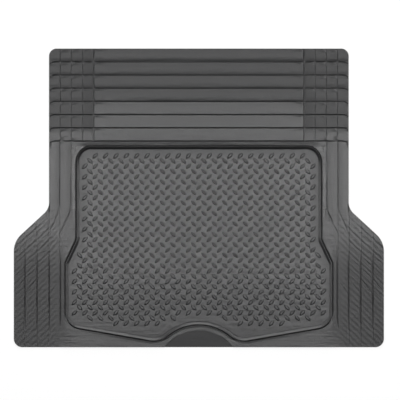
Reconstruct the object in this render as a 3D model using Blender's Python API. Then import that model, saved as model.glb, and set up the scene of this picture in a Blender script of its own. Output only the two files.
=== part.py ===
# Cargo mat for the boot of a car, moulded in one piece from black rubber.
# It has a ribbed border that is trimmed to fit, a raised rim, and a tray with a tread of lozenges.
# Sizes are in millimetres. +X runs across the car, +Y toward the seats, +Z up,
# and the origin is on the floor under the middle of the mat.

import math

import bmesh
import bpy
from mathutils import Vector
from mathutils.geometry import delaunay_2d_cdt, intersect_point_line

# Outline: a neck between the wheel arches, and an ear on each side behind them
NECK_WIDTH = 1027.4
EAR_WIDTH = 120.8
MAT_DEPTH = 1024.0
EAR_DEPTH = 363.0
FLARE_ANGLE = 42.7
NECK_CORNER_RADIUS = 26.0
FLARE_INNER_RADIUS = 50.0
FLARE_OUTER_RADIUS = 78.0
EAR_CORNER_RADIUS = 29.0

# Thickness of the sheet, and of the tray's floor
SHEET_THICKNESS = 3.4
FLOOR_THICKNESS = 2.6

# Border: bands across the front, with a lattice of trim grooves in both corners
BAND_COUNT = 7
BAND_PITCH = 45.2
BAND_CROWN = 0.7
LATTICE_COLUMNS = 4
COLUMN_PITCH = 38.3
CELL_CORNER_RADIUS = 26.0
EAR_PITCH = 41.6
GROOVE_WIDTH = 5.0
GROOVE_DEPTH = 1.8
TONGUE_ANGLE = 24.5
TONGUE_RADIUS = 90.0

# Rim: its valley line follows the border, and the ridge stands inside the valley
RIM_GAP_FRONT = 17.8
RIM_GAP_SIDE = 17.3
RIM_HEIGHT = 10.0
VALLEY_HALF_WIDTH = 2.5
VALLEY_DEPTH = 1.9
RIDGE_WIDTH = 12.0
CREST_WIDTH = 2.0
CREST_OFFSET = 3.0
CREST_ROUNDING = 0.5
RIM_CORNER_RADIUS = 50.0
JOG_DROP = 107.0
JOG_LENGTH = 80.5
JOG_UPPER_RADIUS = 45.0
JOG_LOWER_RADIUS = 14.0
RIM_REAR_RADIUS = 57.0
RIM_REAR_GAP = 71.2

# Bump of the rim around the boot's latch, and the thin flap behind it
BUMP_HALF_WIDTH = 134.7
BUMP_GAP = 15.5
BUMP_ANGLE = 38.5
BUMP_RADIUS = 168.0
BUMP_FOOT_RADIUS = 78.0
FLAP_MARGIN = 18.0
FLAP_STEP_WIDTH = 3.0
FLAP_DEPTH = 1.2
FLAP_OVERRUN = 1.02

# Tread: lozenges that lean left and right in turn
TREAD_PITCH_X = 35.55
TREAD_PITCH_Y = 35.9
LOZENGE_LENGTH = 23.0
LOZENGE_WIDTH = 7.5
LOZENGE_HEIGHT = 1.5
TREAD_FRONT_MARGIN = 21.6
TREAD_REAR_SETBACK = 75.0
TREAD_SIDE_CLEARANCE = 0.8
TREAD_REAR_CLEARANCE = 13.5
TREAD_REAR_ZONE = 40.0

# Fineness of the arcs, in degrees, and the share of the room between two corners that arcs may fill
ARC_STEP = 11.0
ARC_ROOM = 0.98

HALF_NECK = NECK_WIDTH / 2
HALF_WIDTH = HALF_NECK + EAR_WIDTH
FRONT = MAT_DEPTH / 2
REAR = -MAT_DEPTH / 2
FLARE_OUTER_Y = REAR + EAR_DEPTH
FLARE_INNER_Y = FLARE_OUTER_Y + EAR_WIDTH * math.tan(math.radians(FLARE_ANGLE))
BANDS_END = FRONT - BAND_COUNT * BAND_PITCH
GROOVE_HALF = GROOVE_WIDTH / 2
STRIP_X = HALF_NECK - COLUMN_PITCH
INNER_STRIP_X = STRIP_X - COLUMN_PITCH
RIM_FRONT_Y = BANDS_END - RIM_GAP_FRONT
BUMP_FOOT_Y = REAR + BUMP_GAP
BUMP_TOP_Y = BUMP_FOOT_Y + BUMP_HALF_WIDTH * math.tan(math.radians(BUMP_ANGLE))
BUMP_CENTRE_Y = BUMP_TOP_Y - BUMP_RADIUS / math.cos(math.radians(BUMP_ANGLE))
FLAP_RADIUS = BUMP_RADIUS - FLAP_MARGIN


def turned(vector):
    # The vector a quarter turn to its left
    return Vector((-vector.y, vector.x))


def rounded(corners, closed=True):
    # Points of a path whose corners (x, y, radius) are arcs, shortened where two would meet
    count = len(corners)
    places = [Vector(corner[:2]) for corner in corners]
    turns = []
    reaches = []
    for index, corner in enumerate(corners):
        inward = places[index] - places[index - 1]
        outward = places[(index + 1) % count] - places[index]
        at_end = not closed and index in (0, count - 1)
        turn = 0.0 if at_end else math.atan2(inward.cross(outward), inward.dot(outward))
        turns.append(turn)
        reaches.append(corner[2] * math.tan(abs(turn) / 2))

    points = []
    for index, place in enumerate(places):
        before = places[index - 1]
        after = places[(index + 1) % count]
        if reaches[index] == 0.0:
            points.append(place)
            continue
        room_before = (place - before).length / (reaches[index - 1] + reaches[index])
        room_after = (after - place).length / (reaches[(index + 1) % count] + reaches[index])
        reach = reaches[index] * min(1.0, ARC_ROOM * room_before, ARC_ROOM * room_after)
        travel = (place - before).normalized()
        start = place - travel * reach
        radius = reach / math.tan(abs(turns[index]) / 2)
        centre = start + turned(travel) * math.copysign(radius, turns[index])
        steps = math.ceil(math.degrees(abs(turns[index])) / ARC_STEP)
        spoke = start - centre
        for step in range(steps + 1):
            angle = turns[index] * step / steps
            cosine = math.cos(angle)
            sine = math.sin(angle)
            points.append(centre + Vector((spoke.x * cosine - spoke.y * sine,
                                           spoke.x * sine + spoke.y * cosine)))
    return points


def offset(path, distance, closed=True):
    # The path moved to its left by a distance, which is inward on an anticlockwise loop
    moved = []
    last = len(path) - 1
    for index, point in enumerate(path):
        behind = path[index - 1] if closed or index > 0 else None
        ahead = path[(index + 1) % len(path)] if closed or index < last else None
        arriving = (point - behind).normalized() if behind else (ahead - point).normalized()
        leaving = (ahead - point).normalized() if ahead else arriving
        normal = turned(arriving + leaving).normalized()
        moved.append(point + normal * (distance / normal.dot(turned(leaving))))
    return moved


def mirrored_loop(right_half):
    # An anticlockwise loop from the corners of its right half, listed from rear to front
    return right_half + [(-x, y, radius) for x, y, radius in reversed(right_half) if x > 0]


def distance_to(path, point, closed):
    # The distance from a point to the nearest stretch of a path
    shortest = math.inf
    first = 0 if closed else 1
    for index in range(first, len(path)):
        start = path[index - 1]
        end = path[index]
        _, share = intersect_point_line(point, start, end)
        near = start.lerp(end, min(max(share, 0.0), 1.0))
        shortest = min(shortest, (point - near).length)
    return shortest


def inside(loop, point):
    # Whether a point is inside a loop, counted by the edges to its right
    crossings = 0
    for index, end in enumerate(loop):
        start = loop[index - 1]
        if (start.y > point.y) == (end.y > point.y):
            continue
        share = (point.y - start.y) / (end.y - start.y)
        crossings += start.x + share * (end.x - start.x) > point.x
    return crossings % 2 == 1


def mat_outline():
    return rounded(mirrored_loop([
        (HALF_WIDTH, REAR, EAR_CORNER_RADIUS),
        (HALF_WIDTH, FLARE_OUTER_Y, FLARE_OUTER_RADIUS),
        (HALF_NECK, FLARE_INNER_Y, FLARE_INNER_RADIUS),
        (HALF_NECK, FRONT, NECK_CORNER_RADIUS),
    ]))


def valley_line():
    # The rim starts at the latch bump, jogs outward behind the flare, and closes at the front
    upper_x = INNER_STRIP_X - RIM_GAP_SIDE
    lower_x = STRIP_X - RIM_GAP_SIDE
    jog_y = FLARE_INNER_Y - JOG_DROP
    return rounded(mirrored_loop([
        (0.0, BUMP_TOP_Y, BUMP_RADIUS),
        (BUMP_HALF_WIDTH, BUMP_FOOT_Y, BUMP_FOOT_RADIUS),
        (lower_x, REAR + RIM_REAR_GAP, RIM_REAR_RADIUS),
        (lower_x, jog_y - JOG_LENGTH, JOG_LOWER_RADIUS),
        (upper_x, jog_y, JOG_UPPER_RADIUS),
        (upper_x, RIM_FRONT_Y, RIM_CORNER_RADIUS),
    ]))


def groove_lines():
    # Centre lines of the trim grooves. A groove that leaves the mat runs on past its edge.
    beyond = 2 * GROOVE_WIDTH
    lines = []
    for band in range(1, BAND_COUNT + 1):
        y = FRONT - band * BAND_PITCH
        arc_end_y = y - CELL_CORNER_RADIUS
        # A band's groove turns rearward along the mat's edge at both ends
        path = rounded([
            (-HALF_NECK, arc_end_y - beyond, 0.0),
            (-HALF_NECK, y, CELL_CORNER_RADIUS),
            (HALF_NECK, y, CELL_CORNER_RADIUS),
            (HALF_NECK, arc_end_y - beyond, 0.0),
        ], closed=False)
        lines.append(path[1:-1])

    tongue_drop = COLUMN_PITCH / math.tan(math.radians(TONGUE_ANGLE))
    ear_columns = int((EAR_WIDTH - 2 * GROOVE_WIDTH) / EAR_PITCH)
    for side in (-1, 1):
        for column in range(3, LATTICE_COLUMNS + 1):
            x = side * (HALF_NECK - column * COLUMN_PITCH)
            lines.append([Vector((x, FRONT + beyond)), Vector((x, BANDS_END))])
        lines.append([Vector((side * STRIP_X, FRONT + beyond)), Vector((side * STRIP_X, REAR - beyond))])
        for column in range(ear_columns + 1):
            x = side * (HALF_NECK + column * EAR_PITCH)
            top = FLARE_INNER_Y - column * EAR_PITCH * math.tan(math.radians(FLARE_ANGLE)) + beyond
            lines.append([Vector((x, top)), Vector((x, REAR - beyond))])
        # Each strip of the neck ends in a tongue that points into the ear
        for x, top in ((STRIP_X, FLARE_INNER_Y + TONGUE_RADIUS), (INNER_STRIP_X, FRONT + beyond)):
            lines.append(rounded([
                (side * x, top, 0.0),
                (side * x, FLARE_INNER_Y, TONGUE_RADIUS),
                (side * (x + COLUMN_PITCH), FLARE_INNER_Y - tongue_drop, 0.0),
            ], closed=False))
    return lines


def lozenges(tray_edge):
    # Places and leans of the tread's lozenges, on a square lattice with one more in each middle.
    # They keep clear of the rim, and leave a wider bare margin along its rear, where the last
    # row keeps its setback from the mat's rear edge.
    places = []
    rear_zone_y = REAR + RIM_REAR_GAP + TREAD_REAR_ZONE
    first_y = RIM_FRONT_Y - RIDGE_WIDTH - TREAD_FRONT_MARGIN
    last_y = REAR + TREAD_REAR_SETBACK
    half_rows = int(2 * (first_y - last_y) / TREAD_PITCH_Y) + 1
    columns = int(HALF_WIDTH / TREAD_PITCH_X)
    for half_row in range(half_rows):
        leans_left = half_row % 2 == 1
        y = first_y - half_row * TREAD_PITCH_Y / 2
        for column in range(-columns, columns + 1):
            centre = Vector(((column + 0.5 * leans_left) * TREAD_PITCH_X, y))
            clearance = TREAD_REAR_CLEARANCE if y < rear_zone_y else TREAD_SIDE_CLEARANCE
            room = distance_to(tray_edge, centre, closed=True) - LOZENGE_LENGTH / 2
            if inside(tray_edge, centre) and room > clearance:
                places.append((centre, leans_left))
    return places


class Relief:
    # The mat's upper surface as points, each with its height, and the edges between them

    def __init__(self, grooves):
        self.grooves = grooves
        self.points = []
        self.heights = []
        self.edges = []

    def add_line(self, path, height=None, closed=True):
        first = len(self.points)
        self.points += path
        self.heights += [height] * len(path)
        last = len(self.points) - 1
        self.edges += [(index, index + 1) for index in range(first, last)]
        if closed:
            self.edges.append((last, first))

    def add_lozenge(self, centre, leans_left):
        along = Vector((-1.0 if leans_left else 1.0, 1.0)).normalized()
        across = turned(along) * LOZENGE_WIDTH / 2
        along *= LOZENGE_LENGTH / 2
        base = [centre + along, centre + across, centre - along, centre - across]
        self.add_line(base, FLOOR_THICKNESS)
        self.points.append(centre)
        self.heights.append(FLOOR_THICKNESS + LOZENGE_HEIGHT)

    def border_height(self, point):
        height = SHEET_THICKNESS
        if point.y > BANDS_END:
            across_band = ((FRONT - point.y) / BAND_PITCH) % 1.0
            height += BAND_CROWN * (1.0 - abs(2.0 * across_band - 1.0))
        into_flap = FLAP_RADIUS - (point - Vector((0.0, BUMP_CENTRE_Y))).length
        height -= FLAP_DEPTH * min(max(into_flap / FLAP_STEP_WIDTH, 0.0), 1.0)
        nearest = min(distance_to(line, point, False) for line in self.grooves)
        return height - GROOVE_DEPTH * max(0.0, 1.0 - nearest / GROOVE_HALF)

    def triangulated(self):
        # Where lines cross there is a new point, and its height follows from the border
        places, _, faces, origins, _, _ = delaunay_2d_cdt(self.points, self.edges, [], 1, 1e-4)
        heights = []
        for place, sources in zip(places, origins):
            known = [self.heights[source] for source in sources if self.heights[source] is not None]
            heights.append(known[0] if known else self.border_height(place))
        return places, heights, faces


def draw_border(relief):
    relief.add_line(mat_outline())
    for line in relief.grooves:
        for side in (-GROOVE_HALF, 0.0, GROOVE_HALF):
            relief.add_line(offset(line, side, closed=False), closed=False)
    for band in range(BAND_COUNT):
        y = FRONT - (band + 0.5) * BAND_PITCH
        relief.add_line([Vector((-HALF_NECK, y)), Vector((HALF_NECK, y))], closed=False)


def draw_flap(relief):
    # The flap ends a little past the mat's rear edge
    for radius in (FLAP_RADIUS, FLAP_RADIUS - FLAP_STEP_WIDTH):
        half_angle = math.acos((REAR - BUMP_CENTRE_Y) / radius) * FLAP_OVERRUN
        steps = math.ceil(2 * math.degrees(half_angle) / ARC_STEP)
        arc = []
        for step in range(steps + 1):
            angle = math.pi / 2 - half_angle + 2 * half_angle * step / steps
            arc.append(Vector((radius * math.cos(angle), BUMP_CENTRE_Y + radius * math.sin(angle))))
        relief.add_line(arc, closed=False)


def draw_rim(relief, valley):
    valley_bottom = SHEET_THICKNESS - VALLEY_DEPTH
    relief.add_line(offset(valley, -VALLEY_HALF_WIDTH))
    relief.add_line(valley, valley_bottom)
    relief.add_line(offset(valley, CREST_OFFSET), RIM_HEIGHT - CREST_ROUNDING)
    relief.add_line(offset(valley, CREST_OFFSET + CREST_WIDTH), RIM_HEIGHT)
    relief.add_line(offset(valley, RIDGE_WIDTH), FLOOR_THICKNESS)


def cargo_mat_mesh():
    relief = Relief(groove_lines())
    valley = valley_line()
    draw_border(relief)
    draw_flap(relief)
    draw_rim(relief, valley)
    for centre, leans_left in lozenges(offset(valley, RIDGE_WIDTH)):
        relief.add_lozenge(centre, leans_left)
    places, heights, faces = relief.triangulated()

    mesh = bmesh.new()
    used = sorted({index for face in faces for index in face})
    upper = {}
    for index in used:
        x, y = places[index]
        upper[index] = mesh.verts.new((x / 1000, y / 1000, heights[index] / 1000))
    for face in faces:
        mesh.faces.new([upper[index] for index in face])

    # The walls go straight down from the upper surface's edge, and the underside is one flat face
    rim_edges = [edge for edge in mesh.edges if edge.is_boundary]
    walls = bmesh.ops.extrude_edge_only(mesh, edges=rim_edges)
    lower = [item for item in walls["geom"] if isinstance(item, bmesh.types.BMVert)]
    for vertex in lower:
        vertex.co.z = 0.0
    lower_edges = [edge for edge in mesh.edges if edge.is_boundary]
    bmesh.ops.holes_fill(mesh, edges=lower_edges, sides=0)
    bmesh.ops.recalc_face_normals(mesh, faces=mesh.faces)
    bmesh.ops.triangulate(mesh, faces=mesh.faces)

    data = bpy.data.meshes.new("cargo_mat")
    mesh.to_mesh(data)
    mesh.free()
    return data


def moulded_rubber():
    material = bpy.data.materials.new("moulded_rubber")
    material.use_nodes = True
    shader = material.node_tree.nodes["Principled BSDF"]
    shader.inputs["Base Color"].default_value = (0.021, 0.021, 0.022, 1.0)
    shader.inputs["Roughness"].default_value = 0.55
    shader.inputs["Metallic"].default_value = 0.0
    return material


def main():
    for thing in list(bpy.data.objects):
        bpy.data.objects.remove(thing)
    mat = bpy.data.objects.new("cargo_mat", cargo_mat_mesh())
    mat.data.materials.append(moulded_rubber())
    bpy.context.collection.objects.link(mat)


main()
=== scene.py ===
import math

import bmesh
import bpy
import numpy as np
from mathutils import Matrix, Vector
from mathutils.geometry import delaunay_2d_cdt


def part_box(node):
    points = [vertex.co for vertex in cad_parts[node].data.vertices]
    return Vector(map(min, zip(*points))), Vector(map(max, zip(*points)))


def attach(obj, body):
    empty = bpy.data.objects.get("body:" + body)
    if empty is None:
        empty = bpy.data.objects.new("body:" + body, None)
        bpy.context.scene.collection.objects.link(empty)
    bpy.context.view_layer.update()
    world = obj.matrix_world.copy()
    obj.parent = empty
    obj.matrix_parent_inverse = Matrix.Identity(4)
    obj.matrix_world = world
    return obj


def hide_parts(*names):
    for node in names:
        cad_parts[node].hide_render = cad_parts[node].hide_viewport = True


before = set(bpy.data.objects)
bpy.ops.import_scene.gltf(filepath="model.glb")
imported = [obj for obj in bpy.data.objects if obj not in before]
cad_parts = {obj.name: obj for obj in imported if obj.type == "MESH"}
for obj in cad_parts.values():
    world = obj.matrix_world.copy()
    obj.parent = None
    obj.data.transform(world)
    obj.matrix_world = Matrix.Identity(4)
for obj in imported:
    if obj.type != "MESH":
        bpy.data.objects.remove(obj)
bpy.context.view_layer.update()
lowCorner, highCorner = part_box("cargo_mat")
mm = 0.001
print("frame loaded")


# paths in plan, all in millimetres
def leftOf(vector):
    return Vector((-vector.y, vector.x))


def roundedPath(corners, closed=True, arcStep=4.0, roomUsed=0.98):
    # corners are (x, y, radius); arcs are shortened where two would meet
    count = len(corners)
    places = [Vector(corner[:2]) for corner in corners]
    turns, reaches = [], []
    for i, (x, y, radius) in enumerate(corners):
        into, out = places[i] - places[i - 1], places[(i + 1) % count] - places[i]
        straight = not closed and i in (0, count - 1)
        turn = 0.0 if straight else math.atan2(into.cross(out), into.dot(out))
        turns.append(turn)
        reaches.append(radius * math.tan(abs(turn) / 2))
    path = []
    for i, place in enumerate(places):
        if reaches[i] == 0:
            path.append(place)
            continue
        before, after = places[i - 1], places[(i + 1) % count]
        roomBefore = (place - before).length / (reaches[i - 1] + reaches[i])
        roomAfter = (after - place).length / (reaches[(i + 1) % count] + reaches[i])
        reach = reaches[i] * min(1.0, roomUsed * roomBefore, roomUsed * roomAfter)
        travel = (place - before).normalized()
        radius = reach / math.tan(abs(turns[i]) / 2)
        start = place - travel * reach
        centre = start + leftOf(travel) * math.copysign(radius, turns[i])
        steps = max(2, math.ceil(math.degrees(abs(turns[i])) / arcStep))
        spoke = start - centre
        for step in range(steps + 1):
            angle = turns[i] * step / steps
            c, s = math.cos(angle), math.sin(angle)
            path.append(centre + Vector((spoke.x * c - spoke.y * s, spoke.x * s + spoke.y * c)))
    return path


def subdivided(path, closed, longest):
    # extra points on the long stretches keep the triangles from growing into slivers
    full = []
    last = len(path) if closed else len(path) - 1
    for i in range(last):
        a, b = path[i], path[(i + 1) % len(path)]
        parts = max(1, math.ceil((b - a).length / longest))
        full += [a.lerp(b, k / parts) for k in range(parts)]
    return full if closed else full + [path[-1]]


def offsetPath(path, distance, closed):
    # moved to the left of travel, which is inward on an anticlockwise loop
    moved = []
    for i, point in enumerate(path):
        behind = path[i - 1] if closed or i > 0 else None
        ahead = path[(i + 1) % len(path)] if closed or i < len(path) - 1 else None
        arriving = (point - behind).normalized() if behind else (ahead - point).normalized()
        leaving = (ahead - point).normalized() if ahead else arriving
        normal = leftOf(arriving + leaving).normalized()
        moved.append(point + normal * (distance / normal.dot(leftOf(leaving))))
    return moved


def bothSides(rightHalf):
    return rightHalf + [(-x, y, radius) for x, y, radius in reversed(rightHalf) if x > 0]


def distanceTo(points, path, closed):
    # shortest distance from each point to the path (plus on its left), and the nearest place on it
    corners = np.array([tuple(p) for p in path])
    starts = corners if closed else corners[:-1]
    ends = np.roll(corners, -1, 0) if closed else corners[1:]
    best = np.full(len(points), np.inf)
    nearest = np.zeros((len(points), 2))
    sides = np.ones(len(points))
    for a, b in zip(starts, ends):
        along = b - a
        share = np.clip(((points - a) @ along) / (along @ along), 0, 1)
        foot = a + share[:, None] * along
        gap = points - foot
        far = np.hypot(*gap.T)
        closer = far < best
        best[closer] = far[closer]
        nearest[closer] = foot[closer]
        sides[closer] = np.where(along[0] * gap[closer, 1] > along[1] * gap[closer, 0], 1, -1)
    return best * sides, nearest


def isInside(points, loop):
    corners = np.array([tuple(p) for p in loop])
    crossings = np.zeros(len(points), int)
    x, y = points.T
    for (ax, ay), (bx, by) in zip(corners, np.roll(corners, -1, 0)):
        spans = (ay > y) != (by > y)
        if ay != by:
            crossings += spans & (x < ax + (y - ay) / (by - ay) * (bx - ax))
    return crossings % 2 == 1


def ease(t):
    t = np.clip(t, 0, 1)
    return t * t * (3 - 2 * t)


# the mat's plan, as packed
plan = {
    "neckWidth": 1027.4, "earWidth": 120.8, "earDepth": 363.0, "flareAngle": 42.7,
    "neckCornerRadius": 26.0, "flareInnerRadius": 50.0, "flareOuterRadius": 78.0, "earCornerRadius": 29.0,
    "bands": 7, "bandPitch": 45.2, "latticeColumns": 4, "strips": 2, "columnPitch": 38.3,
    "earColumns": 3, "earPitch": 41.6,
    "rimGapFront": 17.8, "rimGapSide": 17.3,
    "rimCornerRadius": 50.0, "jogDrop": 107.0, "jogLength": 80.5, "jogUpperRadius": 45.0,
    "jogLowerRadius": 14.0, "rimRearRadius": 57.0, "rimRearGap": 71.2,
    "bumpHalfWidth": 134.7, "bumpGap": 15.5, "bumpAngle": 38.5, "bumpRadius": 168.0, "bumpFootRadius": 78.0,
}
halfNeck = plan["neckWidth"] / 2
halfWidth = halfNeck + plan["earWidth"]
front = highCorner.y / mm
rear = lowCorner.y / mm
flareSlope = math.tan(math.radians(plan["flareAngle"]))
flareOuterY = rear + plan["earDepth"]
flareInnerY = flareOuterY + plan["earWidth"] * flareSlope
bandsEnd = front - plan["bands"] * plan["bandPitch"]
stripX = halfNeck - plan["columnPitch"]
innerStripX = stripX - plan["columnPitch"]
rimFrontY = bandsEnd - plan["rimGapFront"]
rimUpperX = innerStripX - plan["rimGapSide"]
rimLowerX = stripX - plan["rimGapSide"]
jogY = flareInnerY - plan["jogDrop"]
bumpFootY = rear + plan["bumpGap"]
bumpTopY = bumpFootY + plan["bumpHalfWidth"] * math.tan(math.radians(plan["bumpAngle"]))
bumpCentreY = bumpTopY - plan["bumpRadius"] / math.cos(math.radians(plan["bumpAngle"]))

outline = roundedPath(bothSides([
    (halfWidth, rear, plan["earCornerRadius"]),
    (halfWidth, flareOuterY, plan["flareOuterRadius"]),
    (halfNeck, flareInnerY, plan["flareInnerRadius"]),
    (halfNeck, front, plan["neckCornerRadius"]),
]))
valley = roundedPath(bothSides([
    (0.0, bumpTopY, plan["bumpRadius"]),
    (plan["bumpHalfWidth"], bumpFootY, plan["bumpFootRadius"]),
    (rimLowerX, rear + plan["rimRearGap"], plan["rimRearRadius"]),
    (rimLowerX, jogY - plan["jogLength"], plan["jogLowerRadius"]),
    (rimUpperX, jogY, plan["jogUpperRadius"]),
    (rimUpperX, rimFrontY, plan["rimCornerRadius"]),
]))

# the sheet: heights, crowns and grooves
relief = {
    "sheet": 3.4, "floor": 2.6, "thinnest": 0.5, "edgeRound": 0.8,
    # bands: each one's crown, lean to the front, and how far its rear edge rolls off
    "bandCrowns": (1.0, 0.9, 0.9, 0.9, 0.5, 0.0, -0.3),
    "bandLeans": (0.0, 0.0, 0.0, 0.0, 0.1, 0.2, 0.3),
    "rollOffs": (2.2, 1.4, 1.4, 1.0, 0.2, 0.0, 0.0), "rollOffWidth": 20.0,
    # strips, margins, ears and the sheet behind the tray
    "stripCrown": 1.2, "stripEnd": 60.0, "stripFade": 80.0, "earCrown": 0.4,
    "marginRise": 0.8, "marginFall": 1.7, "sideMarginCrown": 0.5, "sideMarginFade": 60.0,
    "rearLift": 2.0, "rearLiftFrom": -440.0, "rearLiftFade": 72.0,
    "flapTop": 5.4, "flapFall": 4.4, "flapRadius": 150.0,
    # each lattice cell's outer front corner is cut off by an arc and lies lower
    "cornerRadius": 24.0, "cornerStart": -0.2,
    "cornerStep": 1.2, "cornerStepWidth": 2.5, "cornerTilt": 0.02,
    # grooves: reach to the front or outer side, reach to the other side, depth
    "bandGroove": (3.2, 1.4, 2.6), "latticeGroove": (2.0, 2.0, 1.4), "wideGroove": (6.0, 2.0, 3.0),
    "stripGroove": (3.4, 15.0, 2.8), "marginGroove": (3.4, 9.0, 2.6), "tongueGroove": (2.6, 5.0, 1.9),
    "earGroove": (3.4, 3.4, 2.9), "earTongue": (3.0, 3.0, 1.2), "guide": (2.4, 2.4, 0.8),
    "rearRib": (2.4, 2.4, 0.4),
    # where they run, and the degrees between the points of their bends
    "coarseArc": 8, "overrun": 12.0,
    "bandGrooveShift": 1.6, "bandGrooveBend": 26.0, "bandGrooveOverrun": 6.0,
    "stripGrooveEnd": 55.0, "innerEarTop": 82.0, "innerEarFoot": 85.0,
    "tongueAngle": 24.5, "tongueRadius": 90.0,
    "guides": 16, "guidePitch": 13.5, "guideStart": 2.0, "guideEnd": 8.0,
    "earTongueFoot": -330.0, "earTongueTail": 20.0, "earTongueRadius": 50.0, "earTongueRise": 52.0,
    "rearArcs": (64.0, 100.0), "rearArcPoints": 14,
    "rearRibs": (20.0, 37.0, 54.0), "rearRibOuter": 40.0, "rearRibInner": 150.0,
    # the ears' grooves are deepest halfway down
    "earShallow": 0.5, "earDeepFrom": -170.0, "earDeepFade": 80.0, "earDeepTo": -415.0, "earDeepEnd": 50.0,
}


def grooves():
    # centre lines of the trim grooves; the first reach is on a path's left
    r = relief
    beyond = r["overrun"]
    columns = plan["latticeColumns"]
    made = []
    for band in range(1, plan["bands"] + 1):
        y = front - band * plan["bandPitch"] - r["bandGrooveShift"]
        end = halfNeck + r["bandGrooveOverrun"]
        bend = r["bandGrooveBend"]
        path = roundedPath([(-end, y - bend - beyond, 0), (-end, y, bend),
                            (end, y, bend), (end, y - bend - beyond, 0)],
                           closed=False, arcStep=r["coarseArc"])
        made.append((path, r["bandGroove"]))
    tongueDrop = plan["columnPitch"] / math.tan(math.radians(r["tongueAngle"]))
    for side in (-1, 1):
        def upright(x, top, bottom):
            # runs so that its left is the mat's outer side
            ends = [Vector((side * x, top)), Vector((side * x, bottom))]
            return ends if side > 0 else ends[::-1]
        for column in range(1, columns + 1):
            path = upright(halfNeck - column * plan["columnPitch"], front + beyond, bandsEnd)
            made.append((path, r["wideGroove"] if column == columns else r["latticeGroove"]))
        made.append((upright(stripX, bandsEnd, flareInnerY - r["stripGrooveEnd"]), r["stripGroove"]))
        made.append((upright(innerStripX, bandsEnd, flareInnerY), r["marginGroove"]))
        path = upright(stripX, flareInnerY - r["innerEarTop"], rear + r["innerEarFoot"])
        made.append((path, r["earGroove"]))
        for column in range(plan["earColumns"]):
            top = flareInnerY - column * plan["earPitch"] * flareSlope + beyond
            path = upright(halfNeck + column * plan["earPitch"], top, rear - beyond)
            made.append((path, r["earGroove"]))
        for x in (stripX, innerStripX):
            radius = r["tongueRadius"]
            path = roundedPath([
                (side * x, flareInnerY + radius, 0.0), (side * x, flareInnerY, radius),
                (side * (x + plan["columnPitch"]), flareInnerY - tongueDrop, 0.0),
            ], closed=False)
            made.append((path if side > 0 else path[::-1], r["tongueGroove"]))
    return made


def guides():
    # faint lines to cut along: across the ears in step with the flare, and around their rear ends
    r = relief
    made = []
    for side in (-1, 1):
        run = plan["earWidth"] + (r["guideStart"] + r["guideEnd"])
        for k in range(1, r["guides"] + 1):
            y = flareInnerY - k * r["guidePitch"]
            inner = Vector((side * (halfNeck - r["guideStart"]), y))
            outer = Vector((side * (halfWidth + r["guideEnd"]), y - run * flareSlope))
            made.append(([inner, outer], r["guide"]))
        for column in range(-1, plan["earColumns"]):
            x = halfNeck + column * plan["earPitch"]
            outerX = halfNeck + (column + 1) * plan["earPitch"]
            foot = r["earTongueFoot"]
            path = roundedPath([
                (side * outerX, foot - r["earTongueTail"], 0), (side * outerX, foot, r["earTongueRadius"]),
                (side * x, foot + r["earTongueRise"], 0),
            ], closed=False, arcStep=r["coarseArc"])
            made.append((path, r["earTongue"]))
        for radius in r["rearArcs"]:
            centre = Vector((side * (halfWidth - radius), rear + radius))
            arc = [centre + Vector((side * math.cos(a), -math.sin(a))) * radius
                   for a in np.linspace(0, math.pi / 2, r["rearArcPoints"])]
            made.append((arc, r["guide"]))
        for setback in r["rearRibs"]:
            outer = Vector((side * (halfNeck + r["rearRibOuter"]), rear + setback))
            inner = Vector((side * r["rearRibInner"], rear + setback))
            made.append(([outer, inner], r["rearRib"]))
    return made


def cellCorners():
    # outer front corner of each lattice cell, and of the strips' front ends, with its side of the mat
    corners = []
    for side in (-1, 1):
        for column in range(plan["latticeColumns"] + 1):
            x = side * (halfNeck - column * plan["columnPitch"])
            for band in range(plan["bands"]):
                corners.append((x, front - band * plan["bandPitch"], side))
        for column in range(plan["strips"]):
            corners.append((side * (halfNeck - column * plan["columnPitch"]), bandsEnd, side))
    return corners


def beyondArcs(points):
    # how far each point lies beyond its lattice cell's corner arc; minus one elsewhere
    beyond = np.full(len(points), -1.0)
    x, y = points.T
    radius = relief["cornerRadius"]
    for cornerX, cornerY, side in cellCorners():
        across, down = (cornerX - x) * side, cornerY - y
        near = (across > 0) & (across < radius) & (down > 0) & (down < radius)
        distance = np.hypot(radius - across, radius - down) - radius
        beyond = np.where(near & (distance > relief["cornerStart"]), distance, beyond)
    return beyond


def cornerCut(points):
    # outside each cell's corner arc the sheet drops a little and tilts to the corner
    r = relief
    beyond = beyondArcs(points)
    step = r["cornerStep"] * np.clip(beyond / r["cornerStepWidth"], 0, 1)
    return step + r["cornerTilt"] * np.maximum(beyond, 0)


def bandHeight(y):
    r = relief
    place = (front - y) / plan["bandPitch"]
    band = np.clip(place.astype(int), 0, plan["bands"] - 1)
    across = 2 * (place % 1.0) - 1
    crown = np.array(r["bandCrowns"])[band] * (1 - across ** 2)
    crown += np.array(r["bandLeans"])[band] * (1 + across) / 2
    rolled = np.clip(1 - (1 - across) / 2 * plan["bandPitch"] / r["rollOffWidth"], 0, 1)
    crown -= np.array(r["rollOffs"])[band] * rolled ** 2
    return np.where(y > bandsEnd, crown, 0)


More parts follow.
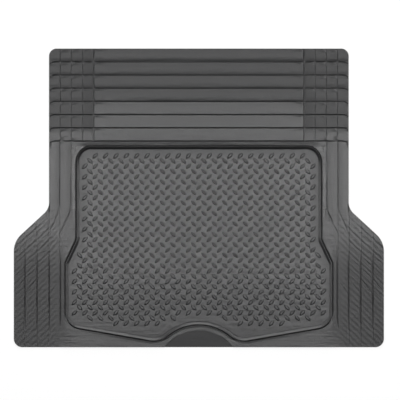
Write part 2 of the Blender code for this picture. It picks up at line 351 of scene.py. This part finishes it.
def grooveCut(points):
    # how far the corner arcs, grooves and guides cut into the sheet
    r = relief
    x, y = points.T
    cut = cornerCut(points)
    onEar = (np.abs(x) > rimLowerX) & (y < flareInnerY)
    deep = ease((r["earDeepFrom"] - y) / r["earDeepFade"]) - ease((r["earDeepTo"] - y) / r["earDeepEnd"])
    strength = np.where(onEar, r["earShallow"] + (1 - r["earShallow"]) * deep, 1.0)
    for path, (leftReach, rightReach, depth) in grooves() + guides():
        corners = np.array([tuple(p) for p in path])
        reach = max(leftReach, rightReach)
        low, high = corners.min(0) - reach, corners.max(0) + reach
        near = np.all((points > low) & (points < high), axis=1)
        if near.any():
            away = distanceTo(points[near], path, False)[0]
            away = np.where(away > 0, away / leftReach, -away / rightReach)
            cut[near] = np.maximum(cut[near], depth * strength[near] * np.clip(1 - away, 0, 1))
    return cut


def borderHeight(points):
    r = relief
    x, y = points.T
    ax = np.abs(x)
    height = r["sheet"] + bandHeight(y)
    inStrip = (ax > innerStripX) & (ax < halfNeck) & (y < bandsEnd)
    stripAcross = 2 * (((halfNeck - ax) / plan["columnPitch"]) % 1.0) - 1
    stripCrown = r["stripCrown"] * ease((y - flareInnerY + r["stripEnd"]) / r["stripFade"])
    height += np.where(inStrip, stripCrown * (1 - stripAcross ** 2), 0)
    earAcross = 2 * (((ax - halfNeck) / plan["earPitch"]) % 1.0) - 1
    height += np.where(ax >= halfNeck, r["earCrown"] * (1 - earAcross ** 2), 0)
    # the margin before the front rim falls toward it, and the side margins are rounded
    fall = (bandsEnd - y) / plan["rimGapFront"]
    inMargin = (fall > 0) & (fall < 1) & (ax < rimUpperX)
    height += np.where(inMargin, r["marginRise"] - r["marginFall"] * fall, 0)
    sideShare = 2 * (innerStripX - ax) / plan["rimGapSide"] - 1
    inSideMargin = (np.abs(sideShare) < 1) & (y < rimFrontY) & (y > jogY)
    sideCrown = r["sideMarginCrown"] * ease((y - jogY) / r["sideMarginFade"])
    height += np.where(inSideMargin, sideCrown * (1 - sideShare ** 2), 0)
    height += r["rearLift"] * ease((r["rearLiftFrom"] - y) / r["rearLiftFade"]) * (ax < rimLowerX)
    # the flap behind the bump is a plain plane that falls to the rear
    flapFront = bumpCentreY + r["flapRadius"]
    onFlap = np.hypot(x, y - bumpCentreY) < r["flapRadius"]
    flapShare = (flapFront - y) / (flapFront - rear)
    height = np.where(onFlap, r["flapTop"] - r["flapFall"] * flapShare, height)
    fromEdge = np.abs(distanceTo(points, outline, True)[0])
    lean = np.clip(1 - fromEdge / r["edgeRound"], 0, 1)
    cut = grooveCut(points) + r["edgeRound"] * (1 - np.sqrt(1 - lean ** 2))
    return np.maximum(height - cut, r["thinnest"])


# the rim's section, by distance inward of the valley line: slot, steep wall, narrow crest, slope
# down to the tray and a fine line at its foot; side, bump and rear say how much each part adds
rim = {
    "crest": 10.0, "sideCrest": 7.4, "rearCrest": 8.0, "crestMiddle": 3.1, "crestCurve": 0.28,
    "crestEnd": 6.0, "slopeTop": 3.6, "slopeFoot": 11.0, "ring": 14.0,
    "wallTop": 2.5, "wallFoot": 1.9, "sideWallFoot": 0.3, "bumpWallFoot": -5.2, "rearWallFoot": -3.7,
    "slotFloor": 0.7, "rearSlotFloor": 1.6, "bumpSlotStart": -4.0, "rearSlotStart": -1.5,
    "slotReach": 2.1, "sideSlotReach": 2.5, "bumpSlotReach": 1.5, "rearSlotReach": 6.0,
    "ledge": 2.0, "ledgeWidth": 1.9,
    "footMiddle": 12.2, "footHalf": 0.9, "footDepth": 0.35, "bumpFootDepth": 0.6,
    # where the side, bump and rear parts begin, and how far each takes to fade in
    "sideFrom": 40.0, "sideFade": 20.0, "bumpTo": 135.0, "bumpFade": 30.0, "bumpBehind": -300.0,
    "rearFrom": -395.0, "rearBeside": 120.0, "rearFade": 40.0,
}


def rimHeight(border, away, nearest):
    s = rim
    nx, ny = nearest.T
    fromMiddle = np.abs(nx)
    rearPart = ease((s["rearFrom"] - ny) / s["rearFade"])
    rearPart *= ease((fromMiddle - s["rearBeside"]) / s["rearFade"])
    bumpPart = ease((s["bumpTo"] - fromMiddle) / s["bumpFade"]) * (ny < s["bumpBehind"])
    sidePart = ease((rimFrontY - s["sideFrom"] - ny) / s["sideFade"]) * (1 - rearPart) * (1 - bumpPart)
    crest = s["crest"] - (s["crest"] - s["rearCrest"]) * np.maximum(rearPart, bumpPart)
    crest -= (s["crest"] - s["sideCrest"]) * sidePart
    slopeShare = np.clip((s["slopeFoot"] - away) / (s["slopeFoot"] - s["slopeTop"]), 0, 1)
    slope = relief["floor"] + (crest - relief["floor"]) * slopeShare
    crestRound = crest - s["crestCurve"] * (away - s["crestMiddle"]) ** 2
    wallFoot = s["wallFoot"] + s["sideWallFoot"] * sidePart
    wallFoot += s["bumpWallFoot"] * bumpPart + s["rearWallFoot"] * rearPart
    low = s["slotFloor"] + s["rearSlotFloor"] * rearPart
    wall = low + (crest - low) * np.clip((away - wallFoot) / (s["wallTop"] - wallFoot), 0, 1)
    reach = s["slotReach"] + s["sideSlotReach"] * sidePart
    reach += s["bumpSlotReach"] * bumpPart + s["rearSlotReach"] * rearPart
    start = s["bumpSlotStart"] * bumpPart + s["rearSlotStart"] * rearPart
    slot = low + (border - low) * np.clip((start - away) / reach, 0, 1)
    ledge = s["ledge"] * np.clip(away / s["ledgeWidth"], 0, 1) * (1 - bumpPart) * (1 - rearPart)
    outside = np.maximum(np.maximum(np.minimum(crestRound, wall), slot), s["slotFloor"] + ledge)
    inside = np.where(away < s["crestEnd"], np.minimum(slope, crestRound), slope)
    footDepth = s["footDepth"] + s["bumpFootDepth"] * bumpPart
    foot = footDepth * np.clip(1 - np.abs(away - s["footMiddle"]) / s["footHalf"], 0, 1)
    return np.where(away > s["crestMiddle"], inside - foot, outside)


def sheetHeight(points):
    away, nearest = distanceTo(points, valley, True)
    inside = isInside(points, valley)
    away = np.where(inside, np.abs(away), -np.abs(away))
    border = borderHeight(points)
    ring = np.abs(away) < rim["ring"]
    height = np.where(inside, relief["floor"], border)
    height[ring] = rimHeight(border[ring], away[ring], nearest[ring])
    return height


# how dull the skin is, from 0 as in the tray to 1 as on the ears' outer ends, and where that fades
skin = {
    "frontBands": 0.58, "dullBands": 4, "bandFade": 20.0,
    "innerLattice": 0.7, "outerLattice": 0.45, "latticeFade": 3.0, "latticeRise": 30.0,
    "latticeSetback": 8.0, "latticeEnd": 20.0,
    "innerEars": 0.75, "earFade": 180.0, "earsFrom": -40.0, "earsLength": 260.0,
    "border": 0.16, "rearBorder": 0.35, "rearFrom": -400.0, "rearFade": 60.0,
    "marginEnd": 50.0, "marginFade": 60.0,
    "trayEdge": 0.3, "edgeReach": 52.0, "edgeFade": 40.0,
    "trayRear": 0.22, "trayRearFrom": -240.0, "trayRearFade": 140.0,
    "arcs": 0.3, "arcEnd": 2.7,
    "rippleFrom": 20.0, "rippleFade": 60.0,
}


def polish(points):
    # how smooth the skin came out of the mould
    s = skin
    x, y = points.T
    ax = np.abs(x)
    pitch = plan["columnPitch"]
    columns = plan["latticeColumns"]
    lattice = ease((ax - halfNeck + columns * pitch) / s["latticeFade"])
    lattice *= ease((y - bandsEnd - s["latticeEnd"]) / s["bandFade"])
    outward = ease((halfNeck - (columns - 1) * pitch + s["latticeSetback"] - ax) / s["latticeRise"])
    lattice *= s["innerLattice"] + s["outerLattice"] * outward
    bands = s["frontBands"] * ease((y - front + s["dullBands"] * plan["bandPitch"]) / s["bandFade"])
    ears = ease((s["earsFrom"] - y) / s["earsLength"]) * (ax > rimLowerX)
    ears *= s["innerEars"] + (1 - s["innerEars"]) * ease((ax - rimLowerX) / s["earFade"])
    flap = np.hypot(x, y - bumpCentreY) < relief["flapRadius"]
    rearBorder = s["rearBorder"] * ease((s["rearFrom"] - y) / s["rearFade"])
    # the side margins came out as smooth as the tray
    inTray = isInside(points, valley)
    sideMargin = (ax < innerStripX) * (y < rimFrontY)
    sideMargin = sideMargin * ease((y - flareInnerY + s["marginEnd"]) / s["marginFade"])
    border = s["border"] * ~inTray * (1 - sideMargin)
    fromRim = np.abs(distanceTo(points, valley, True)[0])
    trayEdge = s["trayEdge"] * ease((s["edgeReach"] - fromRim) / s["edgeFade"]) * inTray
    trayRear = s["trayRear"] * ease((s["trayRearFrom"] - y) / s["trayRearFade"]) * inTray
    dull = np.maximum.reduce([bands, lattice, ears, flap, rearBorder, border, trayEdge, trayRear])
    # the lattice's arcs shine
    beyond = beyondArcs(points)
    onArc = (beyond > relief["cornerStart"]) & (beyond < s["arcEnd"])
    return 1 - np.where(onArc, s["arcs"] * dull, dull)


def ripple(points):
    # how strong the diagonal ripples are: on the ears, fading before the rim
    x, y = points.T
    fade = skin["rippleFade"]
    return ease((np.abs(x) - rimLowerX) / fade) * ease((flareInnerY - skin["rippleFrom"] - y) / fade)


def paintSkin(data, share=1.0):
    # vertex attributes that the rubber's shader reads
    points = np.array([vertex.co[:2] for vertex in data.vertices]) / mm
    for name, values in (("polish", polish(points) * share), ("ripple", ripple(points))):
        data.attributes.new(name, "FLOAT", "POINT").data.foreach_set("value", values.astype(float))


# the sheet's mesh: lengths in millimetres, angles in degrees, shares of a band, strip or margin
meshLines = {
    "spacing": 40.0, "edgeSpacing": 30.0, "rimSpacing": 25.0, "mergeWithin": 1e-4,
    "floorSpacing": 18, "floorReach": 450, "floorFront": 180, "floorGap": 16.0, "sharpAngle": 50,
    "edgeInsets": (0.25, 0.8, 1.4, 3.0), "grooveGuard": 0.6,
    "bandShares": (0.06, 0.14, 0.26, 0.38, 0.5, 0.62, 0.74, 0.84, 0.9),
    "stripShares": (0.13, 0.27, 0.5, 0.73, 0.87), "earShares": (0.15, 0.5, 0.85), "earOverrun": 10,
    "marginShares": (0.25, 0.5, 0.75), "rearLines": range(-440, -501, -12),
    "arcGrowths": (0.0, 0.8, 1.7, 2.5), "arcSteps": 8,
    "flapOffsets": (1.6, 0.4, -0.4, -1.6), "flapOverrun": 1.03, "flapPoints": 30,
    "rimOffsets": (-14, -12, -10, -8.5, -7, -5.5, -4, -3, -2.1, -1, 0, 1, 1.9, 2.2, 2.5, 2.8, 3.1, 3.4,
                   3.8, 4.4, 5.5, 7, 9, 11, 11.3, 12.2, 13.1, 13.6),
}


def sheetLines():
    # every line that the surface has to bend along, as (path, closed)
    m = meshLines
    edge = subdivided(outline, True, m["edgeSpacing"])
    lines = [(edge, True)]
    for inset in m["edgeInsets"]:
        lines.append((offsetPath(edge, inset, True), True))

    def addStraight(startX, startY, endX, endY, spacing=m["spacing"]):
        ends = [Vector((startX, startY)), Vector((endX, endY))]
        lines.append((subdivided(ends, False, spacing), False))

    for path, (leftReach, rightReach, depth) in grooves() + guides():
        fine = subdivided(path, False, m["spacing"])
        guard = m["grooveGuard"]
        for away in (-rightReach - guard, -rightReach, 0, leftReach, leftReach + guard):
            lines.append((offsetPath(fine, away, False), False))
    for band in range(plan["bands"]):
        for share in m["bandShares"]:
            y = front - (band + share) * plan["bandPitch"]
            addStraight(-halfNeck, y, halfNeck, y)
    for side in (-1, 1):
        for column in range(plan["strips"]):
            for share in m["stripShares"]:
                x = side * (halfNeck - (column + share) * plan["columnPitch"])
                addStraight(x, bandsEnd, x, flareInnerY - relief["stripEnd"], m["edgeSpacing"])
        for column in range(plan["earColumns"]):
            for share in m["earShares"]:
                x = side * (halfNeck + (column + share) * plan["earPitch"])
                addStraight(x, flareInnerY + m["earOverrun"], x, rear - m["earOverrun"])
    for share in m["marginShares"]:
        y = bandsEnd - share * plan["rimGapFront"]
        addStraight(-rimUpperX, y, rimUpperX, y)
        for side in (-1, 1):
            x = side * (innerStripX - share * plan["rimGapSide"])
            addStraight(x, rimFrontY, x, jogY)
    for y in m["rearLines"]:
        addStraight(-rimLowerX, y, rimLowerX, y)
    radius = relief["cornerRadius"]
    for cornerX, cornerY, side in cellCorners():
        for growth in m["arcGrowths"]:
            arc = []
            for step in range(m["arcSteps"] + 1):
                angle = math.radians(90 * step / m["arcSteps"])
                arc.append(Vector((
                    cornerX - side * (radius - (radius + growth) * math.cos(angle)),
                    cornerY - radius + (radius + growth) * math.sin(angle))))
            lines.append((arc, False))
    rimPath = subdivided(valley, True, m["rimSpacing"])
    for away in m["rimOffsets"]:
        lines.append((offsetPath(rimPath, away, True), True))
    for offset in m["flapOffsets"]:
        radius = relief["flapRadius"] + offset
        half = math.acos((rear - bumpCentreY) / radius) * m["flapOverrun"]  # a little past the rear edge
        arc = [Vector((radius * math.sin(a), bumpCentreY + radius * math.cos(a)))
               for a in np.linspace(-half, half, m["flapPoints"])]
        lines.append((arc, False))
    return lines


def floorPoints():
    # loose points over the tray's floor, so that the skin's polish changes evenly there
    m = meshLines
    places = range(-m["floorReach"], m["floorReach"] + 1, m["floorSpacing"])
    grid = np.array([(x, y) for x in places for y in places if y <= m["floorFront"]], float)
    clear = np.abs(distanceTo(grid, valley, True)[0]) > m["floorGap"]
    return [Vector(place) for place in grid[isInside(grid, valley) & clear]]


def buildSheet():
    points, edges = [], []
    for path, closed in sheetLines():
        first = len(points)
        points += path
        edges += [(i, i + 1) for i in range(first, len(points) - 1)]
        if closed:
            edges.append((len(points) - 1, first))
    points += floorPoints()
    places, _, faces, _, _, _ = delaunay_2d_cdt(points, edges, [], 1, meshLines["mergeWithin"])
    flat = np.array([tuple(p) for p in places])
    middles = flat[np.array(faces)].mean(1)
    faces = [face for face, kept in zip(faces, isInside(middles, outline)) if kept]
    heights = sheetHeight(flat)
    print("sheet:", len(flat), "points,", len(faces), "triangles on top")

    mesh = bmesh.new()
    verts = {}
    for i in sorted({i for face in faces for i in face}):
        verts[i] = mesh.verts.new((flat[i, 0] * mm, flat[i, 1] * mm, heights[i] * mm))
    for face in faces:
        mesh.faces.new([verts[i] for i in face])
    # the edge goes straight down to the floor, and the flat underside closes the shell
    border = [edge for edge in mesh.edges if edge.is_boundary]
    walls = bmesh.ops.extrude_edge_only(mesh, edges=border)
    for item in walls["geom"]:
        if isinstance(item, bmesh.types.BMVert):
            item.co.z = 0.0
    bmesh.ops.holes_fill(mesh, edges=[edge for edge in mesh.edges if edge.is_boundary], sides=0)
    bmesh.ops.recalc_face_normals(mesh, faces=mesh.faces)
    bmesh.ops.triangulate(mesh, faces=mesh.faces)
    data = bpy.data.meshes.new("mat_sheet")
    mesh.to_mesh(data)
    mesh.free()
    paintSkin(data)
    data.shade_smooth()
    data.set_sharp_from_angle(angle=math.radians(meshLines["sharpAngle"]))
    sheet = bpy.data.objects.new("mat_sheet", data)
    bpy.context.scene.collection.objects.link(sheet)
    return sheet


def linear(hexColour):
    channels = [int(hexColour[i:i + 2], 16) / 255 for i in (1, 3, 5)]
    return [c / 12.92 if c <= 0.04045 else ((c + 0.055) / 1.055) ** 2.4 for c in channels] + [1.0]


def addNode(tree, kind, sockets=None, **settings):
    node = tree.nodes.new(kind)
    for name, value in settings.items():
        setattr(node, name, value)
    for name, value in (sockets or {}).items():
        if isinstance(value, bpy.types.NodeSocket):
            tree.links.new(value, node.inputs[name])
        else:
            node.inputs[name].default_value = value
    return node


# lengths and depths in millimetres
rubber = {
    "black": "#1c1c1d", "bloom": "#212122", "cloud": 70.0,
    "trimRoughness": 0.515, "trayRoughness": 0.27, "ior": 1.52, "grain": 2.6, "grainDepth": 0.03,
    "mottle": 15.0, "mottleDepth": 0.7, "streak": 11.0, "streakLength": 160.0, "streakDepth": 0.5,
    "ripple": 15.0, "rippleDepth": 0.4, "rippleBend": 2.5,
}


def mouldedRubber():
    # compression-moulded rubber, which looks charcoal and satin: a fine pebble grain spreads the shine
    # where the mould was rough, and a faint grey bloom clouds the black
    r = rubber
    material = bpy.data.materials.new("mouldedRubberSatin")
    material.use_nodes = True
    tree = material.node_tree
    shader = tree.nodes["Principled BSDF"]
    place = addNode(tree, "ShaderNodeTexCoord").outputs["Object"]
    cloud = addNode(tree, "ShaderNodeTexNoise", {
        "Vector": place, "Scale": 1 / (r["cloud"] * mm), "Detail": 4.0, "Roughness": 0.6})
    tint = addNode(tree, "ShaderNodeMix", {
        "Factor": cloud.outputs["Fac"], "A": linear(r["black"]), "B": linear(r["bloom"])}, data_type="RGBA")
    # the real grain is about 0.3 mm; it is drawn several times coarser so that it shows
    grain = addNode(tree, "ShaderNodeTexNoise", {
        "Vector": place, "Scale": 1 / (r["grain"] * mm), "Detail": 3.0})
    tree.links.new(tint.outputs["Result"], shader.inputs["Base Color"])
    bump = addNode(tree, "ShaderNodeBump", {
        "Height": grain.outputs["Fac"], "Distance": r["grainDepth"] * mm, "Strength": 1.0})
    # the sheet isn't quite flat: shallow dimples, and flow lines of the rubber across the car
    mottle = addNode(tree, "ShaderNodeTexNoise", {
        "Vector": place, "Scale": 1 / (r["mottle"] * mm), "Detail": 2.0})
    bump = addNode(tree, "ShaderNodeBump", {
        "Height": mottle.outputs["Fac"], "Distance": r["mottleDepth"] * mm, "Strength": 1.0,
        "Normal": bump.outputs["Normal"]})
    flow = addNode(tree, "ShaderNodeMapping", {
        "Vector": place, "Scale": (r["streak"] / r["streakLength"], 1.0, 1.0)})
    streak = addNode(tree, "ShaderNodeTexNoise", {
        "Vector": flow.outputs["Vector"], "Scale": 1 / (r["streak"] * mm), "Detail": 2.0})
    bump = addNode(tree, "ShaderNodeBump", {
        "Height": streak.outputs["Fac"], "Distance": r["streakDepth"] * mm, "Strength": 1.0,
        "Normal": bump.outputs["Normal"]})
    # the ears' ripples run along the flare, the same on both sides
    split = addNode(tree, "ShaderNodeSeparateXYZ", {"Vector": place})
    mirrored = addNode(tree, "ShaderNodeMath", {0: split.outputs["X"]}, operation="ABSOLUTE")
    folded = addNode(tree, "ShaderNodeCombineXYZ", {"X": mirrored.outputs[0], "Y": split.outputs["Y"]})
    turned = addNode(tree, "ShaderNodeMapping", {
        "Vector": folded.outputs[0], "Rotation": (0, 0, math.radians(plan["flareAngle"] - 90))})
    # at scale 1 the wave texture's bands stand 0.314 apart
    wave = addNode(tree, "ShaderNodeTexWave", {
        "Vector": turned.outputs["Vector"], "Scale": 0.314 / (r["ripple"] * mm),
        "Distortion": r["rippleBend"], "Detail": 2.0, "Detail Scale": 0.6})
    onEars = addNode(tree, "ShaderNodeAttribute", attribute_name="ripple")
    rise = addNode(tree, "ShaderNodeMath", {0: wave.outputs["Fac"], 1: onEars.outputs["Fac"]},
                   operation="MULTIPLY")
    bump = addNode(tree, "ShaderNodeBump", {
        "Height": rise.outputs[0], "Distance": r["rippleDepth"] * mm, "Strength": 1.0,
        "Normal": bump.outputs["Normal"]})
    tree.links.new(bump.outputs["Normal"], shader.inputs["Normal"])
    smooth = addNode(tree, "ShaderNodeAttribute", attribute_name="polish")
    rough = addNode(tree, "ShaderNodeMapRange", {
        "Value": smooth.outputs["Fac"], "To Min": r["trimRoughness"], "To Max": r["trayRoughness"]})
    tree.links.new(rough.outputs["Result"], shader.inputs["Roughness"])
    shader.inputs["IOR"].default_value = r["ior"]
    return material


# the tread: lozenges, by geometry nodes; lengths in millimetres, leans in degrees
tread = {
    "pitchX": 35.55, "pitchY": 35.9, "length": 25.5, "width": 12.0, "height": 1.5, "sides": 16,
    "leftLean": 135, "rightLean": 45,
    # how pointed the ends are, the flat top as a share of the foot, and how far it is drawn out
    # and moved to the front
    "taper": 0.25, "topSize": 0.45, "topStretch": 0.48, "topShift": 0.10, "polish": 0.88,
    # first row behind the bands, last row before the rear edge, and room kept from the rim's foot
    "frontSetback": 51.4, "rearSetback": 75.0, "rimFoot": 12.0,
    "sideClearance": -0.2, "rearClearance": 12.5, "rearZone": 40.0,
}


def lozengeSites():
    # square lattice with one more lozenge in each middle, kept clear of the rim
    t = tread
    foot = offsetPath(valley, t["rimFoot"], True)
    firstY = bandsEnd - t["frontSetback"]
    lastY = rear + t["rearSetback"]
    halfRows = int(2 * (firstY - lastY) / t["pitchY"]) + 1
    columns = int(halfWidth / t["pitchX"])
    sites, leans = [], []
    for halfRow in range(halfRows):
        leansLeft = halfRow % 2
        y = firstY - halfRow * t["pitchY"] / 2
        for column in range(-columns, columns + 1):
            sites.append(((column + 0.5 * leansLeft) * t["pitchX"], y))
            leans.append(leansLeft)
    points = np.array(sites)
    room = distanceTo(points, foot, True)[0] - t["length"] / 2
    inRear = points[:, 1] < rear + plan["rimRearGap"] + t["rearZone"]
    clear = np.where(inRear, t["rearClearance"], t["sideClearance"])
    keep = isInside(points, foot) & (room > clear)
    return points[keep], np.array(leans)[keep]


def treadTree(material):
    tree = bpy.data.node_groups.new("lozengeTread", "GeometryNodeTree")
    face = tree.interface
    face.new_socket("Geometry", in_out="INPUT", socket_type="NodeSocketGeometry")
    for name in ("Length", "Width", "Height"):
        face.new_socket(name, in_out="INPUT", socket_type="NodeSocketFloat")
    face.new_socket("Geometry", in_out="OUTPUT", socket_type="NodeSocketGeometry")
    given = tree.nodes.new("NodeGroupInput").outputs
    cone = addNode(tree, "GeometryNodeMeshCone", {
        "Vertices": tread["sides"], "Side Segments": 1, "Fill Segments": 1,
        "Radius Top": tread["topSize"], "Radius Bottom": 1.0, "Depth": 1.0})
    # a low cone drawn out to a lens: pointed at both ends, with a longer slope at the rear end
    mathNode = "ShaderNodeMath"
    spot = addNode(tree, "GeometryNodeInputPosition")
    place = addNode(tree, "ShaderNodeSeparateXYZ", {0: spot.outputs[0]})
    square = addNode(tree, mathNode, {0: place.outputs["X"], 1: 2.0}, operation="POWER")
    rest = addNode(tree, mathNode, {0: 1.0, 1: square.outputs[0]}, operation="SUBTRACT")
    rest = addNode(tree, mathNode, {0: rest.outputs[0], 1: 0.0}, operation="MAXIMUM")
    taper = addNode(tree, mathNode, {0: rest.outputs[0], 1: tread["taper"]}, operation="POWER")
    stretch = addNode(tree, mathNode, {
        0: place.outputs["Z"], 1: tread["topStretch"], 2: 1.0}, operation="MULTIPLY_ADD")
    drawn = addNode(tree, mathNode, {0: place.outputs["X"], 1: stretch.outputs[0]}, operation="MULTIPLY")
    moved = addNode(tree, mathNode, {
        0: place.outputs["Z"], 1: tread["topShift"], 2: drawn.outputs[0]}, operation="MULTIPLY_ADD")
    halfLength = addNode(tree, mathNode, {0: given["Length"], 1: 0.5}, operation="MULTIPLY")
    halfSpan = addNode(tree, mathNode, {0: given["Width"], 1: 0.5}, operation="MULTIPLY")
    along = addNode(tree, mathNode, {0: moved.outputs[0], 1: halfLength.outputs[0]}, operation="MULTIPLY")
    wide = addNode(tree, mathNode, {0: place.outputs["Y"], 1: taper.outputs[0]}, operation="MULTIPLY")
    wide = addNode(tree, mathNode, {0: wide.outputs[0], 1: halfSpan.outputs[0]}, operation="MULTIPLY")
    up = addNode(tree, mathNode, {0: place.outputs["Z"], 1: given["Height"]}, operation="MULTIPLY")
    shaped = addNode(tree, "ShaderNodeCombineXYZ", {
        "X": along.outputs[0], "Y": wide.outputs[0], "Z": up.outputs[0]})
    lens = addNode(tree, "GeometryNodeSetPosition", {
        "Geometry": cone.outputs["Mesh"], "Position": shaped.outputs[0]})
    smooth = addNode(tree, "GeometryNodeSetShadeSmooth", {
        "Geometry": lens.outputs[0], "Selection": cone.outputs["Side"]})
    lean = addNode(tree, "GeometryNodeInputNamedAttribute", {"Name": "lean"}, data_type="FLOAT")
    turn = addNode(tree, "ShaderNodeCombineXYZ", {"Z": lean.outputs["Attribute"]})
    placed = addNode(tree, "GeometryNodeInstanceOnPoints", {
        "Points": given["Geometry"], "Instance": smooth.outputs[0], "Rotation": turn.outputs[0]})
    real = addNode(tree, "GeometryNodeRealizeInstances", {"Geometry": placed.outputs[0]})
    dressed = addNode(tree, "GeometryNodeSetMaterial", {"Geometry": real.outputs[0], "Material": material})
    out = tree.nodes.new("NodeGroupOutput")
    tree.links.new(dressed.outputs[0], out.inputs[0])
    return tree


def buildTread(material):
    points, leans = lozengeSites()
    data = bpy.data.meshes.new("tread_sites")
    data.from_pydata([(x * mm, y * mm, relief["floor"] * mm) for x, y in points], [], [])
    turns = np.radians(np.where(leans == 1, tread["leftLean"], tread["rightLean"]))
    data.attributes.new("lean", "FLOAT", "POINT").data.foreach_set("value", turns)
    holder = bpy.data.objects.new("tread_sites", data)
    bpy.context.scene.collection.objects.link(holder)
    tree = treadTree(material)
    modifier = holder.modifiers.new("tread", "NODES")
    modifier.node_group = tree
    for item in tree.interface.items_tree:
        if item.in_out == "INPUT" and item.name in ("Length", "Width", "Height"):
            modifier[item.identifier] = tread[item.name.lower()] * mm
    evaluated = holder.evaluated_get(bpy.context.evaluated_depsgraph_get())
    mesh = bpy.data.meshes.new_from_object(evaluated)
    mesh.name = "tread_lozenges"
    paintSkin(mesh, tread["polish"])
    holder.modifiers.clear()
    bpy.data.objects.remove(holder)
    piece = bpy.data.objects.new("tread_lozenges", mesh)
    bpy.context.scene.collection.objects.link(piece)
    print("tread:", len(points), "lozenges,", len(mesh.polygons), "faces")
    return piece


rubberFinish = mouldedRubber()
sheet = buildSheet()
sheet.data.materials.append(rubberFinish)
lozenges = buildTread(rubberFinish)
for piece in (sheet, lozenges):
    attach(piece, "root")
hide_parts("cargo_mat")
print("mat built")

# studio
studio = {"world": 0.07, "floorSize": 60.0, "floorShadow": 0.25, "floorGap": 0.0005}
softboxes = {
    # degrees from overhead to the front and to the side; size across and along; watts; distance
    "overheadBox": (0, 0, (5.0, 0.84), 175.0, 12.0),
    "forwardBox": (14, 0, (5.0, 1.7), 125.0, 12.0),
    "frontBox": (56, 0, (8.0, 3.3), 330.0, 12.0),
    "frontLeftBox": (42, -34, (3.6, 3.6), 230.0, 12.0),
    "frontRightBox": (42, 34, (3.6, 3.6), 400.0, 12.0),
    "lowFrontBox": (78, 0, (10.0, 2.9), 650.0, 12.0),
    "leftBox": (1, -33, (0.42, 2.6), 33.0, 3.5),
    "rightBox": (1, 33, (0.42, 2.6), 33.0, 3.5),
    "lowLeftBox": (1, -64, (2.0, 5.0), 65.0, 12.0),
    "lowRightBox": (1, 64, (2.0, 5.0), 65.0, 12.0),
}


def paperFloor():
    # matt white paper: white to the camera, with a trace of the mat's own shadow
    material = bpy.data.materials.new("mattWhitePaper")
    material.use_nodes = True
    tree = material.node_tree
    tree.nodes.clear()
    paper = addNode(tree, "ShaderNodeBsdfDiffuse", {"Color": linear("#f4f4f4")})
    glow = addNode(tree, "ShaderNodeEmission", {"Color": (1, 1, 1, 1), "Strength": 1.0})
    path = addNode(tree, "ShaderNodeLightPath")
    seen = addNode(tree, "ShaderNodeMath", {
        0: path.outputs["Is Camera Ray"], 1: path.outputs["Is Glossy Ray"]}, operation="MAXIMUM")
    seen = addNode(tree, "ShaderNodeMath", {
        0: seen.outputs[0], 1: path.outputs["Is Transmission Ray"]}, operation="MAXIMUM")
    share = addNode(tree, "ShaderNodeMath", {
        0: seen.outputs[0], 1: 1 - studio["floorShadow"]}, operation="MULTIPLY")
    mixed = addNode(tree, "ShaderNodeMixShader", {
        0: share.outputs[0], 1: paper.outputs[0], 2: glow.outputs[0]})
    addNode(tree, "ShaderNodeOutputMaterial", {"Surface": mixed.outputs[0]})
    return material


floorData = bpy.data.meshes.new("paper_floor")
half = studio["floorSize"] / 2
floorCorners = [(-half, -half, 0), (half, -half, 0), (half, half, 0), (-half, half, 0)]
floorData.from_pydata(floorCorners, [], [(0, 1, 2, 3)])
floor = bpy.data.objects.new("paper_floor", floorData)
floor.location.z = -studio["floorGap"]
floorData.materials.append(paperFloor())
bpy.context.scene.collection.objects.link(floor)

for name, (forward, sideways, size, power, distance) in softboxes.items():
    lamp = bpy.data.lights.new(name, "AREA")
    lamp.shape = "RECTANGLE"
    lamp.size, lamp.size_y = size
    lamp.energy = power
    box = bpy.data.objects.new(name, lamp)
    forward, sideways = math.radians(forward), math.radians(sideways)
    level = math.cos(sideways)
    aim = Vector((math.sin(sideways), math.sin(forward) * level, math.cos(forward) * level))
    box.location = aim * distance
    box.rotation_euler = aim.to_track_quat("Z", "Y").to_euler()
    bpy.context.scene.collection.objects.link(box)

world = bpy.data.worlds.new("studioWorld")
world.use_nodes = True
bpy.context.scene.world = world
tree = world.node_tree
tree.nodes.clear()
dim = addNode(tree, "ShaderNodeBackground", {"Color": (1, 1, 1, 1), "Strength": studio["world"]})
white = addNode(tree, "ShaderNodeBackground", {"Color": (1, 1, 1, 1), "Strength": 1.0})
path = addNode(tree, "ShaderNodeLightPath")
both = addNode(tree, "ShaderNodeMixShader", {
    0: path.outputs["Is Camera Ray"], 1: dim.outputs[0], 2: white.outputs[0]})
addNode(tree, "ShaderNodeOutputWorld", {"Surface": both.outputs[0]})

# straight overhead and far off, so that the mat shows almost without perspective
cameraSettings = {"height": 12.0, "x": 0.0039, "y": -0.0073, "lens": 314.88, "sensor": 36.0}
cameraData = bpy.data.cameras.new("camera")
cameraData.lens = cameraSettings["lens"]
cameraData.sensor_width = cameraSettings["sensor"]
camera = bpy.data.objects.new("camera", cameraData)
camera.location = (cameraSettings["x"], cameraSettings["y"], cameraSettings["height"])
bpy.context.scene.collection.objects.link(camera)
bpy.context.scene.camera = camera
bpy.context.scene.view_settings.view_transform = "Standard"
print("studio set")
